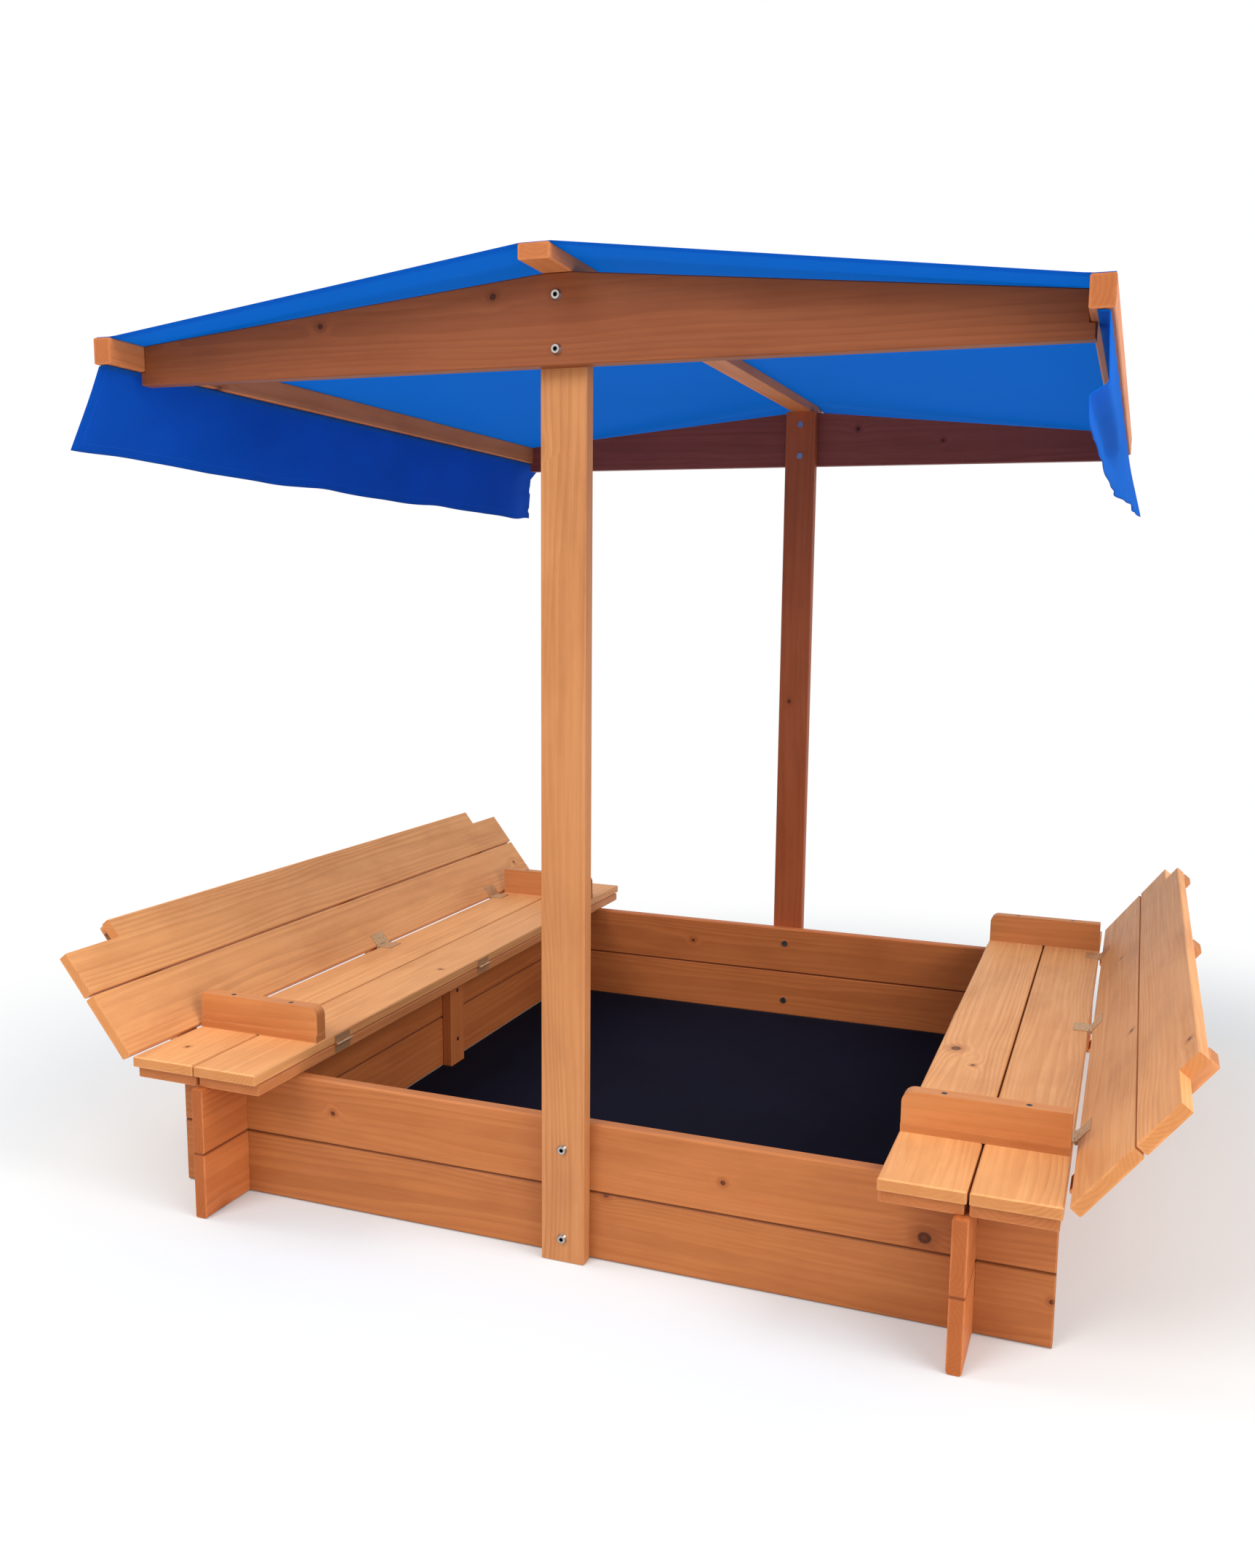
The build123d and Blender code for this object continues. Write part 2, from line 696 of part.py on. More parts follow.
seat_leaf_level = seat_hinge_offset - leaf_thickness
for side, side_name in ((-1, "left"), (1, "right")):
    for number, slat_name in enumerate(("inner", "outer")):
        write(base_slat(side, number), f"base_slat_{side_name}_{slat_name}")
        write(seat_slat(side, number), f"seat_slat_{side_name}_{slat_name}")
    for number, slat_name in enumerate(("lower", "upper")):
        write(back_slat(side, number), f"back_slat_{side_name}_{slat_name}")
    for end, end_name in ((-1, "front"), (1, "back")):
        write(armrest(side, end), f"armrest_{side_name}_{end_name}")
    write(armrest_strips(side), f"armrest_strips_{side_name}")
    write(screw_group(armrest_screws(side)), f"armrest_screws_{side_name}")
    write(back_battens(side), f"back_battens_{side_name}")
    write(screw_group(batten_screws(side)), f"batten_screws_{side_name}")

    seat_x = side * seat_axis_x
    outward = (side, 0, 0)
    fixed = hinge_planes(seat_x, seat_axis_z, hinge_places, (0, 0, -1), outward)
    moving = hinge_planes(seat_x, seat_axis_z, hinge_places, (0, 0, 1), outward)
    write(hinge_leaves(fixed, seat_leaf_level, leaf_reach, False), f"seat_hinge_{side_name}_base")
    write(hinge_leaves(moving, seat_leaf_level, leaf_reach, True), f"seat_hinge_{side_name}_seat")

    back_x = side * back_axis_x
    up_back = (side * cos(lean), 0, sin(lean))
    back_front = (-side * sin(lean), 0, cos(lean))
    on_seat = hinge_planes(back_x, back_axis_z, hinge_places, (-side, 0, 0), (0, 0, 1))
    on_back = hinge_planes(back_x, back_axis_z, hinge_places, up_back, back_front)
    write(hinge_leaves(on_seat, back_hinge_drop, back_leaf_reach, False),
          f"back_hinge_{side_name}_seat")
    write(hinge_leaves(on_back, 0, back_leaf_reach, True), f"back_hinge_{side_name}_back")
    write(hinge_pins([(back_x, y, back_axis_z) for y in hinge_places]),
          f"back_hinge_pins_{side_name}")

write(hinge_pins([(side * seat_axis_x, y, seat_axis_z)
                  for side in (-1, 1) for y in hinge_places]), "seat_hinge_pins")
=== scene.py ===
"""Looks of the timber sandbox with folding benches and a fabric roof: finishes, cloth, light.

Metres, in the CAD model's own frame: X along the front wall, Y from front to back, Z up.
"""
import json
from math import cos, pi, radians, sin

import bmesh
import bpy
from mathutils import Matrix, Vector, noise


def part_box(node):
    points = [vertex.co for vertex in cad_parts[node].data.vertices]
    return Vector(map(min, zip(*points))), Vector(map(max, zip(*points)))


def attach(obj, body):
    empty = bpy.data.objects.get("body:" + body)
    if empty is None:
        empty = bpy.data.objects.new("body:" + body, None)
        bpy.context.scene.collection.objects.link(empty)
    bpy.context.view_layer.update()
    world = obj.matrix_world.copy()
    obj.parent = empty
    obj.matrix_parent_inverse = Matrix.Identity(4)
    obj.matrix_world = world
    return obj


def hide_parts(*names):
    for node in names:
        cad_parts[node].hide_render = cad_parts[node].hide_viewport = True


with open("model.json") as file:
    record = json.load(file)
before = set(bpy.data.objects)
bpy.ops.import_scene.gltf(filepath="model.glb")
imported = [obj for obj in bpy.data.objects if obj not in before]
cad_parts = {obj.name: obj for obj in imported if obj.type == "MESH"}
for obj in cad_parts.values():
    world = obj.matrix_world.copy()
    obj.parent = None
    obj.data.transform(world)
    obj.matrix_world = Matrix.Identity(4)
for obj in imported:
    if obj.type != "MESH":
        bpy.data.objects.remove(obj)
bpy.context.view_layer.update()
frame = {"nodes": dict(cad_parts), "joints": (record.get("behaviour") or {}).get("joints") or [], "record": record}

nodes = frame["nodes"]

# --- Camera --------------------------------------------------------------------------------
camera_place = (0.6489, -1.9257, 0.8325)
camera_yaw = 19.083       # degrees from +Y towards -X
camera_pitch = 8.059      # degrees below level
camera_roll = 0.921
sensor_width = 36.0       # mm
camera_lens = 29.31       # mm
camera_shift = (-0.0445, -0.0016)

# --- How the backrests lean ------------------------------------------------------------------
back_joint = next(j for j in frame["joints"] if j["name"] == "right_back_fold")
back_lean = radians(back_joint["range_deg"][1])
lean_across = Vector((cos(back_lean), 0, sin(back_lean)))


# --- Small helpers ---------------------------------------------------------------------------
def new_object(name, mesh):
    piece = bpy.data.objects.new(name, mesh)
    bpy.context.scene.collection.objects.link(piece)
    return piece


def mirrored(vector, side):
    return Vector((vector[0] * side, vector[1], vector[2]))


class Shader:
    """A material's node tree, with short calls for the nodes it is built from."""

    def __init__(self, tree):
        self.tree = tree

    def node(self, kind, **settings):
        made = self.tree.nodes.new(kind)
        for key, value in settings.items():
            setattr(made, key, value)
        return made

    def feed(self, socket, value):
        if hasattr(value, "is_output"):
            self.tree.links.new(value, socket)
        elif value is not None:
            socket.default_value = value

    def math(self, operation, a, b=None, c=None):
        made = self.node("ShaderNodeMath", operation=operation)
        for socket, value in zip(made.inputs, (a, b, c)):
            self.feed(socket, value)
        return made.outputs[0]

    def vector(self, operation, a, b=None):
        made = self.node("ShaderNodeVectorMath", operation=operation)
        self.feed(made.inputs[0], a)
        self.feed(made.inputs[1], b)
        return made.outputs["Value" if operation in ("DOT_PRODUCT", "LENGTH") else "Vector"]

    def combine(self, x, y, z):
        made = self.node("ShaderNodeCombineXYZ")
        for socket, value in zip(made.inputs, (x, y, z)):
            self.feed(socket, value)
        return made.outputs[0]

    def parts(self, value):
        made = self.node("ShaderNodeSeparateXYZ")
        self.feed(made.inputs[0], value)
        return made.outputs

    def noise(self, place, scale, detail=2.0, roughness=0.5, distortion=0.0):
        made = self.node("ShaderNodeTexNoise")
        self.feed(made.inputs["Vector"], place)
        self.feed(made.inputs["Scale"], scale)
        self.feed(made.inputs["Detail"], detail)
        self.feed(made.inputs["Roughness"], roughness)
        self.feed(made.inputs["Distortion"], distortion)
        return made.outputs["Fac"]

    def spread(self, value, low, high, to_low=0.0, to_high=1.0, smooth=False):
        made = self.node("ShaderNodeMapRange", clamp=True)
        if smooth:
            made.interpolation_type = "SMOOTHSTEP"
        for socket, given in zip(made.inputs, (value, low, high, to_low, to_high)):
            self.feed(socket, given)
        return made.outputs["Result"]

    def mix(self, share, a, b):
        made = self.node("ShaderNodeMix", data_type="RGBA")
        self.feed(made.inputs["Factor"], share)
        self.feed(made.inputs["A"], a)
        self.feed(made.inputs["B"], b)
        return made.outputs["Result"]

    def bump(self, height, strength, distance):
        made = self.node("ShaderNodeBump")
        self.feed(made.inputs["Strength"], strength)
        self.feed(made.inputs["Distance"], distance)
        self.feed(made.inputs["Height"], height)
        return made.outputs["Normal"]

    def seen_directly(self):
        """1 for rays that show a surface itself: straight, in a gloss or through glass."""
        rays = self.node("ShaderNodeLightPath").outputs
        shown = self.math("MAXIMUM", rays["Is Camera Ray"], rays["Is Glossy Ray"])
        return self.math("MAXIMUM", shown, rays["Is Transmission Ray"])


def new_material(name):
    """A material with an empty Principled shader, and the Shader that builds it."""
    material = bpy.data.materials.new(name)
    material.use_nodes = True
    shader = Shader(material.node_tree)
    surface = material.node_tree.nodes["Principled BSDF"]
    return material, shader, surface


def wear(piece, material):
    """Gives an object one material all over."""
    piece.data.materials.clear()
    piece.data.materials.append(material)


# --- Timber ----------------------------------------------------------------------------------
ring_pitch = 0.0052       # spacing of the year rings
pith_depth = 0.034        # from the middle of a board down to its pith line
pith_wander = 0.055       # how far the pith line strays sideways
ring_waver = 0.004        # unevenness of the rings
fibre_scale = 620.0       # fibres per metre across the grain
knot_pitch = 0.23         # spacing of the cells that may hold a knot
knot_radius = 0.0060
knot_share = 0.80         # share of those cells that hold one
knot_bulge = 0.016        # how far a knot pushes the rings aside
arris_width = 0.0035      # the strip along a board's arrises painted lighter: a highlight, and stain rubbed thin
stain_width = 0.0030      # the strip where stain pools along an edge
pattern_step = 7.31       # distance along the grain between two boards' patterns
timber_light = (0.700, 0.292, 0.113, 1)
timber_mid = (0.610, 0.228, 0.079, 1)
timber_dark = (0.360, 0.104, 0.030, 1)
timber_end = (0.400, 0.130, 0.038, 1)
timber_knot = (0.080, 0.022, 0.008, 1)
timber_groove = (0.150, 0.036, 0.012, 1)


def knot_pattern(s, place):
    """Distance to the nearest cell's knot, in knot radii, and 1 where the cell holds one."""
    along, across, _ = s.parts(place)
    wander = s.noise(place, 9.0, 1.0)
    spot = s.combine(along, s.math("MULTIPLY_ADD", wander, 0.02, across), 0.0)
    cells = s.node("ShaderNodeTexVoronoi", voronoi_dimensions="2D", feature="F1")
    s.feed(cells.inputs["Vector"], s.vector("MULTIPLY", spot, (0.85, 1.0, 0.0)))
    s.feed(cells.inputs["Scale"], 1 / knot_pitch)
    s.feed(cells.inputs["Randomness"], 1.0)
    picks = s.node("ShaderNodeSeparateColor")
    s.feed(picks.inputs[0], cells.outputs["Color"])
    present = s.math("LESS_THAN", picks.outputs[0], knot_share)
    size = s.spread(picks.outputs[1], 0.0, 1.0, 0.45, 1.25)
    radii = s.math("MULTIPLY", cells.outputs["Distance"], knot_pitch / knot_radius)
    return s.math("DIVIDE", radii, size), present


def ring_pattern(s, place, pith, bulge):
    """Year rings round a pith line that wanders below the board's face."""
    _, across, through = s.parts(place)
    slow = s.noise(s.vector("MULTIPLY", place, (1.0, 6.0, 6.0)), 1.7, 2.0)
    drift = s.math("MULTIPLY", s.math("SUBTRACT", slow, 0.5), pith_wander)
    side_step = s.math("ADD", s.math("SUBTRACT", across, pith), drift)
    depth = s.math("ADD", through, pith_depth)
    radius = s.vector("LENGTH", s.combine(side_step, depth, 0.0))
    fine_drift = s.noise(s.vector("MULTIPLY", place, (3.0, 30.0, 30.0)), 1.0, 2.0)
    radius = s.math("MULTIPLY_ADD", fine_drift, ring_waver, radius)
    radius = s.math("MULTIPLY_ADD", bulge, knot_bulge, radius)
    phase = s.math("FRACT", s.math("DIVIDE", radius, ring_pitch))
    rise = s.spread(phase, 0.15, 0.86, 0.0, 1.0, smooth=True)
    fall = s.spread(phase, 0.86, 1.0, 1.0, 0.0, smooth=True)
    strength = s.noise(s.vector("MULTIPLY", place, (1.2, 14.0, 14.0)), 1.3, 1.0)
    return s.math("MULTIPLY", s.math("MULTIPLY", rise, fall),
                  s.spread(strength, 0.3, 0.7, 0.25, 1.0))


def arris_highlight_and_wear(s, place, half, middle):
    """Up to 0.4 on a board's arrises, in patches: a painted highlight where the edges catch the light, and stain
    rubbed thin by handling.
    """
    from_middle = s.vector("SUBTRACT", place, s.combine(middle, 0.0, 0.0))
    to_end, to_edge, to_face = s.parts(
        s.vector("SUBTRACT", half, s.vector("ABSOLUTE", from_middle)))
    closer = s.math("MINIMUM", to_edge, to_face)
    further = s.math("MAXIMUM", to_edge, to_face)
    to_arris = s.math("MAXIMUM", closer, s.math("MINIMUM", further, to_end))
    return s.math("MULTIPLY", s.spread(to_arris, 0.0005, arris_width, 0.40, 0.0, smooth=True),
                  s.spread(s.noise(place, 40.0, 2.0), 0.3, 0.65))


def pooled_stain(s, place, half, seam):
    """1 along both edges where seam is 0, and along one edge where it is 1 or -1."""
    across = s.parts(place)[1]
    both_sides = s.math("MULTIPLY", s.math("ABSOLUTE", across),
                        s.math("SUBTRACT", 1.0, s.math("ABSOLUTE", seam)))
    outwards = s.math("MULTIPLY_ADD", across, seam, both_sides)
    to_seam = s.math("SUBTRACT", s.parts(half)[1], outwards)
    return s.spread(to_seam, 0.0004, stain_width, 1.0, 0.0, smooth=True)


def timber_group():
    """Stained softwood: year rings, fibres, knots and blotches in a board's own directions.

    The Place input is along the grain, across the face and through the thickness, in metres.
    """
    group = bpy.data.node_groups.new("stained_softwood", "ShaderNodeTree")
    for name, kind in (("Place", "Vector"), ("End", "Float"), ("Pith", "Float"),
                       ("ToneAndPaintedLight", "Color"), ("Half", "Vector"), ("Middle", "Float"),
                       ("Groove", "Float"), ("Seam", "Float")):
        group.interface.new_socket(name, in_out="INPUT", socket_type="NodeSocket" + kind)
    for name, kind in (("Color", "Color"), ("Roughness", "Float"), ("Normal", "Vector")):
        group.interface.new_socket(name, in_out="OUTPUT", socket_type="NodeSocket" + kind)
    s = Shader(group)
    given = s.node("NodeGroupInput").outputs
    place, end, half = given["Place"], given["End"], given["Half"]
    away, present = knot_pattern(s, place)
    bulge = s.math("MULTIPLY", s.math("EXPONENT", s.math("MULTIPLY", away, -0.55)), present)
    ring = ring_pattern(s, place, given["Pith"], bulge)

    # Fibres, streaks and blotches, all drawn out along the grain.
    fibre = s.noise(s.vector("MULTIPLY", place, (0.018, 1.0, 1.0)), fibre_scale, 3.0, 0.6)
    streak = s.noise(s.vector("MULTIPLY", place, (0.030, 1.0, 1.0)), 120.0, 4.0, 0.6)
    blotch = s.noise(s.vector("MULTIPLY", place, (0.40, 1.0, 1.0)), 13.0, 4.0, 0.6)
    light = s.mix(s.spread(streak, 0.25, 0.85), timber_light, timber_mid)
    colour = s.mix(s.math("MULTIPLY", ring, 0.34), light, timber_dark)
    colour = s.mix(s.math("MULTIPLY", s.spread(fibre, 0.45, 0.85), 0.22), colour, timber_dark)
    colour = s.mix(s.spread(blotch, 0.46, 0.78, 0.0, 0.42), colour, timber_dark)
    colour = s.mix(s.spread(blotch, 0.20, 0.44, 0.40, 0.0), colour, timber_light)

    # Each knot: a dark halo, a darker core and a paler heart.
    halo = s.math("MULTIPLY", s.spread(away, 1.0, 3.2, 0.55, 0.0, smooth=True), present)
    colour = s.mix(halo, colour, timber_dark)
    core = s.math("MULTIPLY", s.spread(away, 0.75, 1.15, 0.92, 0.0, smooth=True), present)
    colour = s.mix(core, colour, timber_knot)
    heart = s.math("MULTIPLY", s.spread(away, 0.0, 0.65, 0.45, 0.0), present)
    colour = s.mix(heart, colour, timber_dark)

    # End grain, painted highlights and rubbed stain on the arrises, and stain pooled along the edges.
    end_colour = s.mix(s.math("MULTIPLY", ring, 0.55), timber_end, timber_dark)
    colour = s.mix(s.math("MULTIPLY", end, 0.70), colour, end_colour)
    # Painted highlight on the arrises, mixed with stain rubbed thin.
    colour = s.mix(arris_highlight_and_wear(s, place, half, given["Middle"]), colour, timber_light)
    pooled = pooled_stain(s, place, half, given["Seam"])
    colour = s.mix(s.math("MULTIPLY", pooled, given["Groove"]), colour, timber_groove)

    height = s.math("MULTIPLY_ADD", fibre, 0.5, s.math("MULTIPLY", ring, 0.35))
    height = s.math("MULTIPLY_ADD", core, -0.5, height)
    out = s.node("NodeGroupOutput").inputs
    # The tone carries each board's painted light and shade along with its random variety.
    s.feed(out["Color"], s.vector("MULTIPLY", colour, given["ToneAndPaintedLight"]))
    s.feed(out["Roughness"], s.math("ADD", s.spread(streak, 0.3, 0.7, 0.46, 0.58),
                                    s.math("MULTIPLY", end, 0.2)))
    s.feed(out["Normal"], s.bump(height, 0.35, 0.0006))
    return group


timber_nodes = timber_group()


def timber(name, grain, width, tone_and_painted_light, pith, shift, groove, seam):
    """A material for one board: grain and width are its own directions in the frame."""
    axes = (grain, width, grain.cross(width))
    corners = [vertex.co for vertex in nodes[name].data.vertices]
    spans = [[corner.dot(axis) for corner in corners] for axis in axes]
    middle = [(max(span) + min(span)) / 2 for span in spans]
    half = [(max(span) - min(span)) / 2 for span in spans]
    material, s, surface = new_material("timber_" + name)
    spot = s.node("ShaderNodeTexCoord").outputs
    along, across, through = [s.vector("DOT_PRODUCT", spot["Object"], axis) for axis in axes]
    place = s.combine(s.math("ADD", along, shift * pattern_step),
                      s.math("SUBTRACT", across, middle[1]),
                      s.math("SUBTRACT", through, middle[2]))
    facing = s.math("ABSOLUTE", s.vector("DOT_PRODUCT", spot["Normal"], grain))
    wood = s.node("ShaderNodeGroup", node_tree=timber_nodes)
    for socket, value in (("Place", place), ("End", s.spread(facing, 0.75, 0.95)),
                          ("Pith", pith), ("ToneAndPaintedLight", (*tone_and_painted_light, 1)), ("Half", half),
                          ("Middle", middle[0] + shift * pattern_step),
                          ("Groove", groove), ("Seam", seam)):
        s.feed(wood.inputs[socket], value)
    s.feed(surface.inputs["Base Color"], wood.outputs["Color"])
    s.feed(surface.inputs["Roughness"], wood.outputs["Roughness"])
    s.feed(surface.inputs["Normal"], wood.outputs["Normal"])
    surface.inputs["Specular IOR Level"].default_value = 0.22
    return material


X, Y, Z = Vector((1, 0, 0)), Vector((0, 1, 0)), Vector((0, 0, 1))


def board_directions(name):
    """Grain and width directions of a board, from its name."""
    side = 1 if "right" in name else -1
    if name.startswith(("wall_front", "wall_back", "gable", "armrest")):
        return X, Z
    if name.startswith("wall_cleat"):
        return Z, Y
    if name.startswith(("wall_left", "wall_right", "eave")):
        return Y, Z
    if name.startswith("post"):
        return Z, X
    if name.startswith("back_slat"):
        return Y, mirrored(lean_across, side)
    if name.startswith("back_battens"):
        return mirrored(lean_across, side), Y
    return Y, X


def board_stain(name):
    """How strongly stain pools along a board's edges, and on which one (0 is both)."""
    if name.startswith("wall") and name.endswith("_lower"):
        return 0.75, 1.0
    if name.startswith("wall") and name.endswith("_upper"):
        return 0.75, -1.0
    if name.startswith(("wall_cleat", "base_slat", "seat_slat", "back_slat")):
        return 0.08, 0.0
    return 0.0, 0.0


# Painted light and shade: these tints hold the light and shade each board gets in this view as well as its colour.
# The back post and both gables are darker and redder, the front walls darker than the side walls, and the seat and
# back slats lighter, above 1.
painted_light_board_tints = {
    "wall_front": (0.70, 0.59, 0.45), "wall_back": (0.84, 0.63, 0.47),
    "wall_left": (0.84, 0.65, 0.50), "wall_right": (0.84, 0.65, 0.50),
    "wall_cleat": (0.84, 0.66, 0.52), "post_front": (0.76, 0.79, 0.77),
    "post_back": (0.62, 0.37, 0.31), "gable_front": (0.39, 0.27, 0.225),
    "gable_back": (0.40, 0.24, 0.42), "ridge_pole": (0.95, 0.85, 0.80),
    "eave_rail": (0.88, 0.76, 0.68), "base_slat": (0.95, 0.90, 0.85),
    "seat_slat": (1.17, 1.36, 1.36), "back_slat": (1.24, 1.42, 1.40),
    "back_battens": (1.05, 1.15, 1.25), "armrest": (0.90, 0.87, 0.77),
}
golden_ratio = 0.618034   # its multiples spread evenly, so no two boards match
pith_spread = 0.03        # how far apart the boards' pith lines lie
timber_names = sorted(s["node"] for s in frame["record"]["subparts"]
                      if s["material_slot"] == "timber")
for number, name in enumerate(timber_names):
    variety = (number * golden_ratio) % 1.0
    shade = 0.96 + 0.08 * variety
    painted_light_tint = next(value for start, value in painted_light_board_tints.items() if name.startswith(start))
    tone_and_painted_light = [channel * shade for channel in painted_light_tint]
    pith = pith_spread * (variety - 0.5)
    wear(nodes[name], timber(name, *board_directions(name), tone_and_painted_light, pith, number + 1,
                             *board_stain(name)))


# --- Metal -----------------------------------------------------------------------------------
socket_radius = 0.0024    # of the unlit socket in a bolt's head
socket_painted_shade = (0.012, 0.010, 0.010, 1)


def bolt_axes(name):
    """Where the upper and the lower bolt of a node lie, as (x, z)."""
    low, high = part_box(name)
    radius = (high[0] - low[0]) / 2
    middle = (high[0] + low[0]) / 2
    return [(middle, low[2] + radius), (middle, high[2] - radius)]


def metal(name, colour, roughness, scratch, sockets=()):
    """Plated steel with fine scratches, dull patches and, in bolts, unlit sockets."""
    material, s, surface = new_material(name)
    spot = s.node("ShaderNodeTexCoord").outputs["Object"]
    patch = s.noise(spot, 240.0, 3.0, 0.6)
    fine = s.noise(s.vector("MULTIPLY", spot, (1.0, 6.0, 1.0)), scratch, 2.0, 0.7)
    dull = tuple(channel * 0.72 for channel in colour[:3]) + (1,)
    plating = s.mix(s.spread(patch, 0.4, 0.75), colour, dull)
    # Painted shade: a dark disc over the socket in each bolt's head.
    for x, z in sockets:
        offset = s.vector("MULTIPLY", s.vector("SUBTRACT", spot, (x, 0.0, z)), (1.0, 0.0, 1.0))
        inside = s.spread(s.vector("LENGTH", offset), socket_radius, socket_radius * 1.2, 1.0, 0.0)
        plating = s.mix(inside, plating, socket_painted_shade)
    s.feed(surface.inputs["Base Color"], plating)
    s.feed(surface.inputs["Roughness"], s.spread(patch, 0.3, 0.8, roughness, roughness + 0.18))
    s.feed(surface.inputs["Normal"], s.bump(fine, 0.15, 0.0001))
    surface.inputs["Metallic"].default_value = 1.0
    return material


zinc = (0.50, 0.49, 0.47, 1)
bright_zinc = metal("bright_zinc", zinc, 0.20, 900.0)
bolt_zinc = metal("bolt_zinc", zinc, 0.20, 900.0, bolt_axes("gable_bolts") + bolt_axes("wall_bolts"))
aged_brass = metal("aged_brass", (0.64, 0.400, 0.220, 1), 0.50, 700.0)
dark_steel = metal("dark_steel", (0.12, 0.10, 0.09, 1), 0.42, 900.0)
for entry in frame["record"]["subparts"]:
    name, kind = entry["node"], entry["material_slot"]
    if kind == "hinge_steel":
        wear(nodes[name], aged_brass)
    if kind == "fastener_steel":
        plated = bolt_zinc if "bolts" in name else bright_zinc
        wear(nodes[name], plated if "bolts" in name or "nuts" in name else dark_steel)


# --- Cloth materials -------------------------------------------------------------------------
threads_per_metre = 900.0
stitch_inset = 0.012      # from the hem's edge to its line of stitches
stitch_pitch = 0.0045
stitch_blue = (0.03, 0.22, 0.75, 1)


def hem_and_stitches(s, u, v, size):
    """1 on the doubled hem round a sheet, and 1 on the stitches that hold it."""
    to_side = s.math("MINIMUM", u, s.math("SUBTRACT", size[0], u))
    to_end = s.math("MINIMUM", v, s.math("SUBTRACT", size[1], v))
    to_hem = s.math("MINIMUM", to_side, to_end)
    off_line = s.math("ABSOLUTE", s.math("SUBTRACT", to_hem, stitch_inset))
    on_line = s.spread(off_line, 0.0004, 0.0009, 1.0, 0.0)
    beat = s.math("SINE", s.math("MULTIPLY", s.math("ADD", u, v), 2 * pi / stitch_pitch))
    stitch = s.math("MULTIPLY", on_line, s.spread(beat, -0.4, 0.1))
    hem = s.spread(to_hem, stitch_inset + 0.001, stitch_inset + 0.003, 1.0, 0.0, smooth=True)
    return hem, stitch


def woven(name, light, dark, see_through, size, glow=None):
    """Plain woven cloth with a stitched hem, from UVs in metres; some light passes through."""
    material, s, surface = new_material(name)
    uv = s.node("ShaderNodeTexCoord").outputs["UV"]
    u, v, _ = s.parts(uv)
    warp = s.math("SINE", s.math("MULTIPLY", u, 2 * pi * threads_per_metre))
    weft = s.math("SINE", s.math("MULTIPLY", v, 2 * pi * threads_per_metre))
    weave = s.math("MULTIPLY", warp, weft)
    slub = s.noise(s.vector("MULTIPLY", uv, (1.0, 14.0, 1.0)), 60.0, 2.0)
    cloud = s.noise(uv, 5.0, 3.0, 0.55)
    hem, stitch = hem_and_stitches(s, u, v, size)
    colour = s.mix(s.spread(cloud, 0.3, 0.7), light, dark)
    colour = s.mix(s.spread(weave, -1.0, 1.0, 0.0, 0.18), colour, dark)
    colour = s.mix(s.spread(slub, 0.5, 0.8, 0.0, 0.15), colour, light)
    colour = s.mix(s.math("MULTIPLY", hem, 0.15), colour, dark)
    colour = s.mix(s.math("MULTIPLY", stitch, 0.45), colour, stitch_blue)
    s.feed(surface.inputs["Base Color"], colour)
    surface.inputs["Roughness"].default_value = 0.78
    surface.inputs["Sheen Weight"].default_value = 0.02
    surface.inputs["Sheen Roughness"].default_value = 0.5
    surface.inputs["Specular IOR Level"].default_value = 0.08
    height = s.math("MULTIPLY_ADD", slub, 0.4, s.math("MULTIPLY", weave, 0.5))
    height = s.math("MULTIPLY_ADD", hem, 1.2, s.math("MULTIPLY_ADD", stitch, 1.0, height))
    s.feed(surface.inputs["Normal"], s.bump(height, 0.25, 0.0003))
    through = s.node("ShaderNodeBsdfTranslucent")
    if glow:
        colour = s.mix(s.math("MULTIPLY", hem, 0.25), glow, dark)
    s.feed(through.inputs["Color"], colour)
    blend = s.node("ShaderNodeMixShader")
    blend.inputs[0].default_value = see_through
    s.feed(blend.inputs[1], surface.outputs[0])
    s.feed(blend.inputs[2], through.outputs[0])
    s.feed(s.tree.nodes["Material Output"].inputs["Surface"], blend.outputs[0])
    return material


def felt(name, light, dark):
    """Non-woven ground cloth: matted fibres pressed flat."""
    material, s, surface = new_material(name)
    spot = s.node("ShaderNodeTexCoord").outputs["Object"]
    fibre = s.noise(spot, 900.0, 4.0, 0.7, 1.5)
    cloud = s.noise(spot, 6.0, 4.0, 0.6)
    colour = s.mix(s.spread(fibre, 0.35, 0.7), dark, light)
    colour = s.mix(s.spread(cloud, 0.35, 0.75, 0.0, 0.5), colour, dark)
    s.feed(surface.inputs["Base Color"], colour)
    surface.inputs["Roughness"].default_value = 0.92
    surface.inputs["Sheen Weight"].default_value = 0.01
    surface.inputs["Specular IOR Level"].default_value = 0.06
    s.feed(surface.inputs["Normal"], s.bump(fibre, 0.4, 0.0006))
    return material


# --- Cloth ---------------------------------------------------------------------------------
ridge_low, ridge_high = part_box("ridge_pole")
rail_low, rail_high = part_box("eave_rail_right")
gable_back_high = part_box("gable_back")[1]
cloth_lift = 0.0012       # from the timber to the middle of the cloth
cloth_half = 0.0005       # half the cloth's thickness
rail_cover = 0.001        # from the canopy's edge to the rail's outer face
ridge_stub = 0.008        # of the ridge's length left bare, both ends together
canopy_reach = rail_high.x - rail_cover
canopy_length = ridge_high.y - ridge_low.y - ridge_stub
canopy_sag = 0.0030       # between the ridge and a rail
canopy_droop = 0.0100     # of the back hem beside the ridge, past the gable
canopy_ripple = 0.0012
ridge_bend = 0.0035       # width of the bend beside the ridge


def even_steps(count, *extra):
    """Shares from 0 to 1 in even steps, with some exact ones put in."""
    steps = {i / count for i in range(count + 1)}
    steps = {step for step in steps if all(abs(step - e) > 0.3 / count for e in extra)}
    return sorted(steps | set(extra))


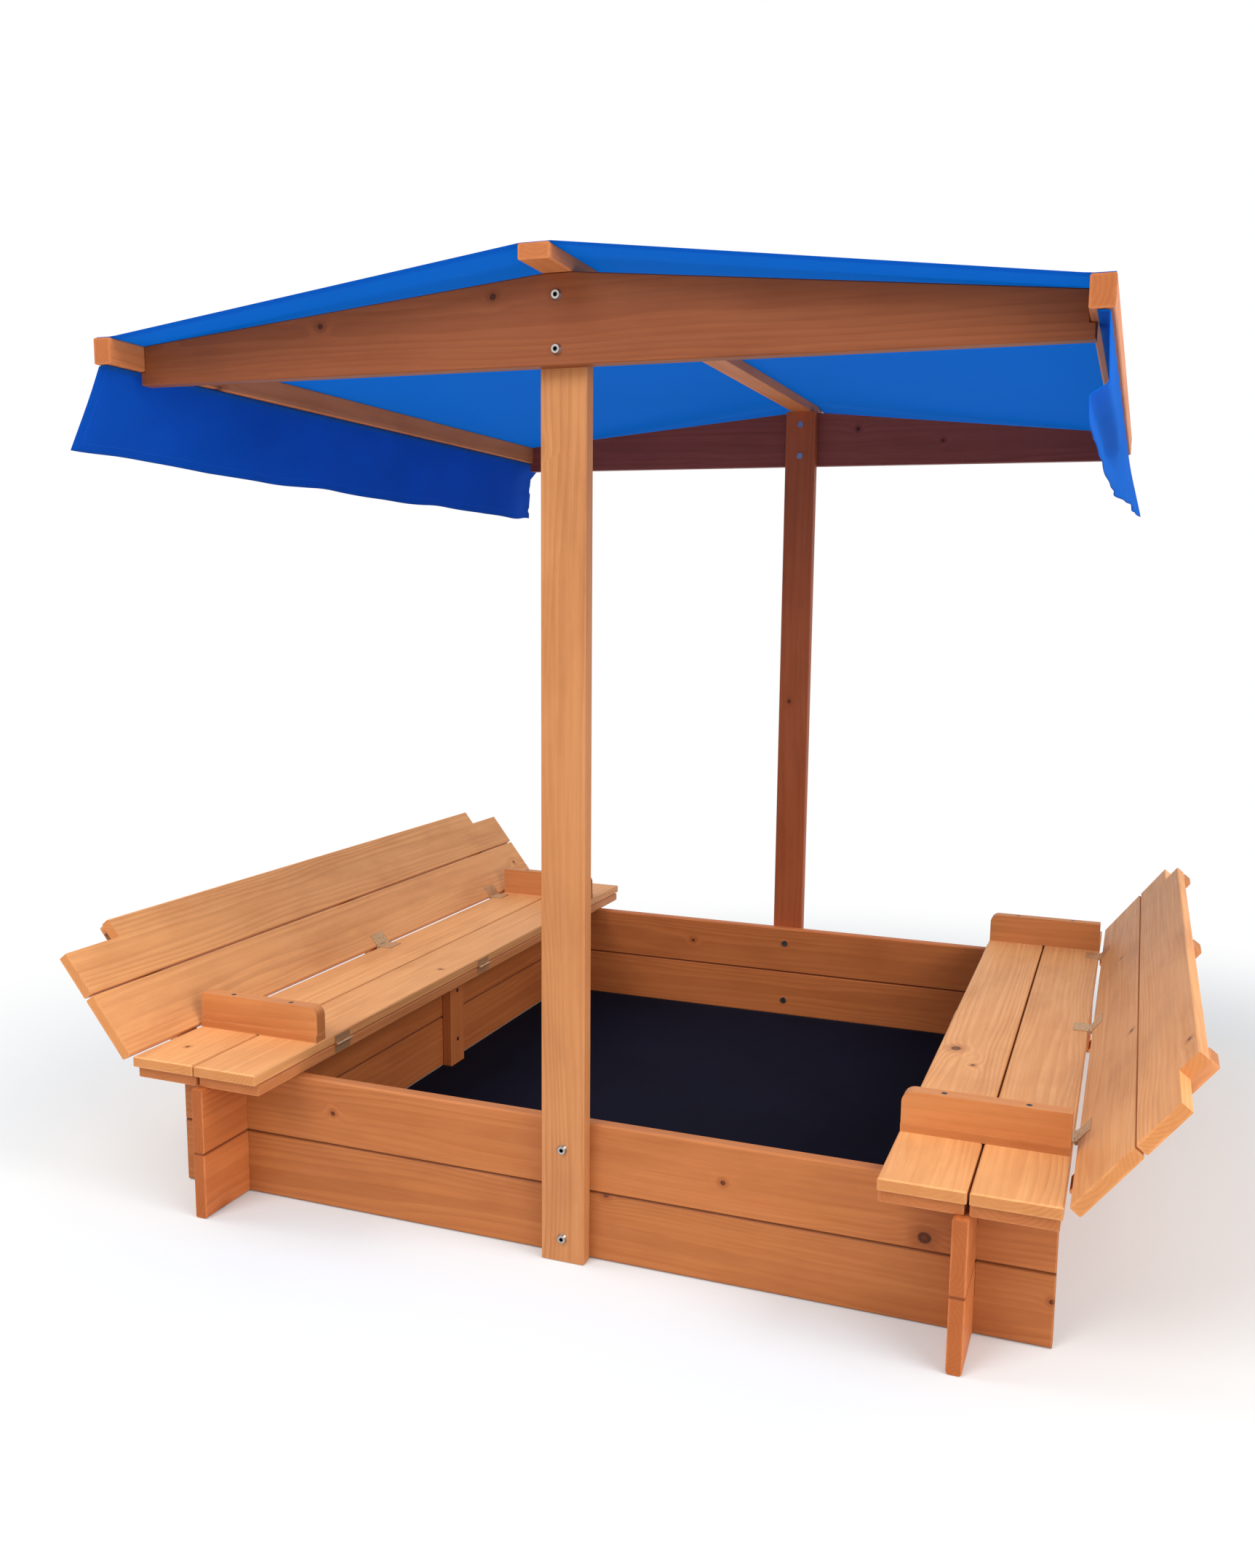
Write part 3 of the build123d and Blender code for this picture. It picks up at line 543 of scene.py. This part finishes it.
def grid_mesh(name, across, down, place):
    """A grid whose points are place(u, v) for the shares across and down, with UVs in metres."""
    mesh = bpy.data.meshes.new(name)
    columns, rows = len(across) - 1, len(down) - 1
    points = [place(u, v) for v in down for u in across]
    faces = [(j * (columns + 1) + i, j * (columns + 1) + i + 1,
              (j + 1) * (columns + 1) + i + 1, (j + 1) * (columns + 1) + i)
             for j in range(rows) for i in range(columns)]
    mesh.from_pydata(points, [], faces)
    width = sum((points[i + 1] - points[i]).length for i in range(columns))
    length = sum((points[(j + 1) * (columns + 1)] - points[j * (columns + 1)]).length
                 for j in range(rows))
    layer = mesh.uv_layers.new(name="cloth")
    for loop in mesh.loops:
        row, column = divmod(loop.vertex_index, columns + 1)
        layer.data[loop.index].uv = (across[column] * width, down[row] * length)
    mesh.shade_smooth()
    return mesh, width, length


def thicken(piece, thickness):
    """Gives a sheet its thickness, half to each side, applied to the mesh."""
    solid = piece.modifiers.new("thickness", "SOLIDIFY")
    solid.thickness = thickness
    solid.offset = 0.0
    apply_modifiers(piece)


def apply_modifiers(piece):
    graph = bpy.context.evaluated_depsgraph_get()
    mesh = bpy.data.meshes.new_from_object(piece.evaluated_get(graph), depsgraph=graph)
    piece.modifiers.clear()
    old = piece.data
    piece.data = mesh
    bpy.data.meshes.remove(old)


def smooth_step(value):
    value = max(0.0, min(1.0, value))
    return value * value * (3 - 2 * value)


ridge_half = ridge_high.x
fall_run = rail_low.x - ridge_half
fall_height = ridge_high.z - rail_high.z


def canopy_height(x, y):
    """The stretched cloth's height: it lies on the ridge and rails, and sags between them."""
    x = abs(x)
    if x <= ridge_half:
        return ridge_high.z
    run = min(1.0, (x - ridge_half) / fall_run)
    straight = ridge_high.z - fall_height * run
    inside = 1 - (y / (canopy_length / 2)) ** 2
    sag = canopy_sag * inside * sin(pi * run)
    past_gable = (y - gable_back_high.y) / (canopy_length / 2 - gable_back_high.y)
    beside_ridge = smooth_step(run / 0.006) * (1 - run)
    droop = canopy_droop * smooth_step(past_gable) * beside_ridge
    waves = noise.noise(Vector((x * 3.1, y * 5.3, 2.0)))
    ripple = canopy_ripple * waves * sin(pi * run) * inside
    return straight - sag - droop + ripple


def canopy_point(u, v):
    x = (2 * u - 1) * canopy_reach
    y = (v - 0.5) * canopy_length
    return Vector((x, y, canopy_height(x, y) + cloth_lift))


def make_canopy():
    """The roof cloth, with exact columns where it bends over the ridge's edges."""
    bends = [0.5 + side * x / canopy_reach / 2 for side in (-1, 1)
             for x in (ridge_half, ridge_half + ridge_bend)]
    mesh, width, length = grid_mesh("canopy_sheet", even_steps(120, *bends), even_steps(80),
                                    canopy_point)
    canopy = new_object("canopy_sheet", mesh)
    thicken(canopy, 2 * cloth_half)
    wear(canopy, woven("canopy_blue", (0.0050, 0.118, 0.540, 1), (0.0045, 0.098, 0.470, 1),
                       0.58, (width, length), glow=(0.006, 0.370, 0.760, 1)))
    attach(canopy, "frame")
    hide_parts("canopy")


make_canopy()


# --- Valances ----------------------------------------------------------------------------------
valance_seeds = {"left": 11.0, "right": 23.0}
# Painted light and shade: both valances are one cloth; the right is given lighter blues and lets more light
# through, the left is given darker blues.
valance_lit_and_shaded_blues = {
    "left": ((0.0045, 0.140, 0.620, 1), (0.0035, 0.110, 0.520, 1), 0.45),
    "right": ((0.0060, 0.210, 0.760, 1), (0.0050, 0.180, 0.680, 1), 0.50),
}
valance_drop = 0.114      # below the rail
valance_flap = 0.012      # turned in under the rail, where it is tacked
valance_inset = 0.0045    # from the rail's outer face to the fold
valance_end_gap = 0.003   # from the cloth's ends to the ends of its space
valance_rows = 28
wave_degrees = 9.0        # how far the folds swing the cloth
tuck_degrees = 62.0       # how far the right valance's tucked part turns in


def valance_angle(side_name, u, down, seed):
    """How far the cloth leans outwards, in degrees, along its length and down its drop."""
    folds = noise.noise(Vector((u * 6.0, down * 0.7, seed + 9.0)))
    folds += 0.45 * noise.noise(Vector((u * 15.0, down * 1.1, seed + 3.0)))
    wave = wave_degrees * folds * smooth_step(down / 0.4)
    if side_name == "left":
        lean = 25.0 - 15.0 * smooth_step(u * 1.5)
        bow = smooth_step((u - 0.90) / 0.10)
        lean += bow * (32.0 if down < 0.3 else -9.0)
        return lean + wave
    lean = 2.0 + 10.0 * smooth_step((u - 0.45) * 1.8)
    tucked = 1 - smooth_step((u - 0.36) / 0.22)
    kink = smooth_step((down - 0.55) / 0.06) * (1 - smooth_step((down - 0.73) / 0.06))
    return lean - tuck_degrees * tucked * kink + wave * (1 - 0.6 * tucked)


def valance_point_maker(side_name):
    """A strip turned in under a rail, hanging in shallow folds with an uneven hem."""
    side = -1 if side_name == "left" else 1
    seed = valance_seeds[side_name]
    low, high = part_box("valance_" + side_name)
    fold = rail_high.x - valance_inset
    top = rail_low.z - cloth_lift

    def point(u, v):
        y = low.y + valance_end_gap + u * (high.y - low.y - 2 * valance_end_gap)
        drop = valance_drop + 0.005 * noise.noise(Vector((u * 3.3, seed, 0.0)))
        drop += 0.003 * noise.noise(Vector((u * 11.0, seed, 4.0)))
        run = v * (valance_flap + drop)
        if run < valance_flap:
            return Vector((side * (fold - valance_flap + run), y, top))
        hung = run - valance_flap
        steps = max(1, round(valance_rows * hung / drop))
        out, fall = 0.0, 0.0
        for step in range(steps):
            down = (step + 0.5) / steps * hung / drop
            angle = radians(valance_angle(side_name, u, down, seed))
            out += sin(angle) * hung / steps
            fall += cos(angle) * hung / steps
        return Vector((side * (fold + out), y, top - fall))

    return point


def make_valance(side_name):
    mesh, width, length = grid_mesh(f"valance_{side_name}_sheet", even_steps(160),
                                    even_steps(valance_rows), valance_point_maker(side_name))
    valance = new_object(f"valance_{side_name}_sheet", mesh)
    thicken(valance, 2 * cloth_half)
    light_blue, dark_blue, see_through = valance_lit_and_shaded_blues[side_name]
    wear(valance, woven(f"valance_{side_name}_blue", light_blue, dark_blue, see_through,
                        (width, length)))
    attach(valance, "frame")
    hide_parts("valance_" + side_name)


for side_name in ("left", "right"):
    make_valance(side_name)


# --- Ground sheet --------------------------------------------------------------------------------
sheet_low, sheet_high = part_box("ground_sheet")
ground_thickness = 0.0012
ground_lift = 0.0016      # how high the cloth's waves rise
cleat_gap = 0.001         # round the uprights that stand in the cloth's notches
cleat_boxes = [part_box("wall_cleat_" + side_name) for side_name in ("left", "right")]


def ground_point(u, v):
    x = sheet_low.x + u * (sheet_high.x - sheet_low.x)
    y = sheet_low.y + v * (sheet_high.y - sheet_low.y)
    inside = min(u, 1 - u, v, 1 - v)
    lift = ground_lift * abs(noise.noise(Vector((x * 4.2, y * 4.2, 7.0))))
    return Vector((x, y, sheet_high.z / 2 + lift * smooth_step(inside / 0.05)))


def cleat_edges(axis):
    """Where the notches' edges fall along the cloth, as shares from 0 to 1."""
    low_edge, span = sheet_low[axis], sheet_high[axis] - sheet_low[axis]
    edges = [edge for low, high in cleat_boxes
             for edge in (low[axis] - cleat_gap, high[axis] + cleat_gap)]
    shares = {round((edge - low_edge) / span, 6) for edge in edges}
    return sorted(share for share in shares if 0 < share < 1)


def cut_round_cleats(piece):
    """Takes out the notches that the wall cleats stand in, and returns their area."""
    cutter = bmesh.new()
    cutter.from_mesh(piece.data)
    doomed = []
    for face in cutter.faces:
        spot = face.calc_center_median()
        if any(low.x - cleat_gap < spot.x < high.x + cleat_gap
               and low.y - cleat_gap < spot.y < high.y + cleat_gap
               for low, high in cleat_boxes):
            doomed.append(face)
    removed = sum(face.calc_area() for face in doomed)
    bmesh.ops.delete(cutter, geom=doomed, context="FACES")
    cutter.to_mesh(piece.data)
    cutter.free()
    return removed


def make_ground_cloth():
    mesh, width, length = grid_mesh("ground_cloth", even_steps(110, *cleat_edges(0)),
                                    even_steps(112, *cleat_edges(1)), ground_point)
    ground = new_object("ground_cloth", mesh)
    cut = cut_round_cleats(ground)
    thicken(ground, ground_thickness)
    wear(ground, felt("ground_felt", (0.0058, 0.0062, 0.0205, 1), (0.0010, 0.0011, 0.0040, 1)))
    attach(ground, "frame")
    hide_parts("ground_sheet")


make_ground_cloth()


# --- Studio --------------------------------------------------------------------------------------
camera_data = bpy.data.cameras.new("camera")
camera_data.lens = camera_lens
camera_data.sensor_width = sensor_width
camera_data.shift_x, camera_data.shift_y = camera_shift
camera_data.clip_start = 0.05
camera_data.clip_end = 50.0
camera = new_object("camera", camera_data)
camera.matrix_world = (Matrix.Translation(camera_place)
                       @ Matrix.Rotation(radians(camera_yaw), 4, "Z")
                       @ Matrix.Rotation(radians(90 - camera_pitch), 4, "X")
                       @ Matrix.Rotation(radians(camera_roll), 4, "Z"))
bpy.context.scene.camera = camera


floor_offset = (-0.30, 0.50, 0.0)   # puts the fade's middle to the right and in front
floor_fade = (1.25, 2.10)   # distances from that middle between which the floor turns white
floor_reach = 14.0
floor_drop = 0.0006       # keeps the floor clear of what stands on it


def floor_material():
    """A pale floor that keeps the shadows near the object and turns plain white further out."""
    material, s, surface = new_material("floor_white")
    surface.inputs["Base Color"].default_value = (0.80, 0.80, 0.80, 1)
    surface.inputs["Roughness"].default_value = 0.9
    surface.inputs["Specular IOR Level"].default_value = 0.0
    seen = s.node("ShaderNodeBsdfDiffuse")
    seen.inputs["Color"].default_value = (0.665, 0.690, 0.700, 1)
    lift = s.node("ShaderNodeEmission")
    lift.inputs["Strength"].default_value = 0.06
    both = s.node("ShaderNodeAddShader")
    s.feed(both.inputs[0], seen.outputs[0])
    s.feed(both.inputs[1], lift.outputs[0])
    white = s.node("ShaderNodeEmission")
    place = s.node("ShaderNodeTexCoord").outputs["Object"]
    away = s.vector("LENGTH", s.vector("ADD", place, floor_offset))
    fade = s.node("ShaderNodeMixShader")
    s.feed(fade.inputs[0], s.spread(away, *floor_fade, smooth=True))
    s.feed(fade.inputs[1], both.outputs[0])
    s.feed(fade.inputs[2], white.outputs[0])
    choose = s.node("ShaderNodeMixShader")
    s.feed(choose.inputs[0], s.seen_directly())
    s.feed(choose.inputs[1], surface.outputs[0])
    s.feed(choose.inputs[2], fade.outputs[0])
    s.feed(s.tree.nodes["Material Output"].inputs["Surface"], choose.outputs[0])
    return material


def make_floor():
    mesh = bpy.data.meshes.new("floor")
    corners = [(x * floor_reach, y * floor_reach, 0)
               for x, y in ((-1, -1), (1, -1), (1, 1), (-1, 1))]
    mesh.from_pydata(corners, [], [(0, 1, 2, 3)])
    floor = new_object("floor", mesh)
    floor.location.z = -floor_drop
    wear(floor, floor_material())


make_floor()


def lamp(name, place, target, size, power):
    """A round soft lamp that faces its target."""
    data = bpy.data.lights.new(name, "AREA")
    data.shape = "DISK"
    data.size = size
    data.energy = power
    made = new_object(name, data)
    made.location = place
    made.rotation_mode = "QUATERNION"
    made.rotation_quaternion = (Vector(target) - Vector(place)).to_track_quat("-Z", "Y")


lamp("key", (-1.3, -3.3, 3.7), (0, 0, 0.3), 2.4, 98.0)
lamp("left_side", (-3.2, -0.7, 3.4), (-0.5, 0, 0.2), 2.0, 58.0)
lamp("right_side", (3.2, -0.9, 3.4), (0.5, 0, 0.2), 2.0, 84.0)
lamp("fill", (3.4, -2.6, 1.7), (-0.5, 0, 0.3), 1.8, 50.0)

sky_strength = 0.63       # of the light on the object; what is seen of the sky is plain white
world = bpy.data.worlds.new("studio")
bpy.context.scene.world = world
world.use_nodes = True
sky = Shader(world.node_tree)
background = world.node_tree.nodes["Background"]
background.inputs["Color"].default_value = (1, 1, 1, 1)
sky.feed(background.inputs["Strength"],
         sky.spread(sky.seen_directly(), 0.0, 1.0, sky_strength, 1.0))

bpy.context.scene.view_settings.view_transform = "Standard"
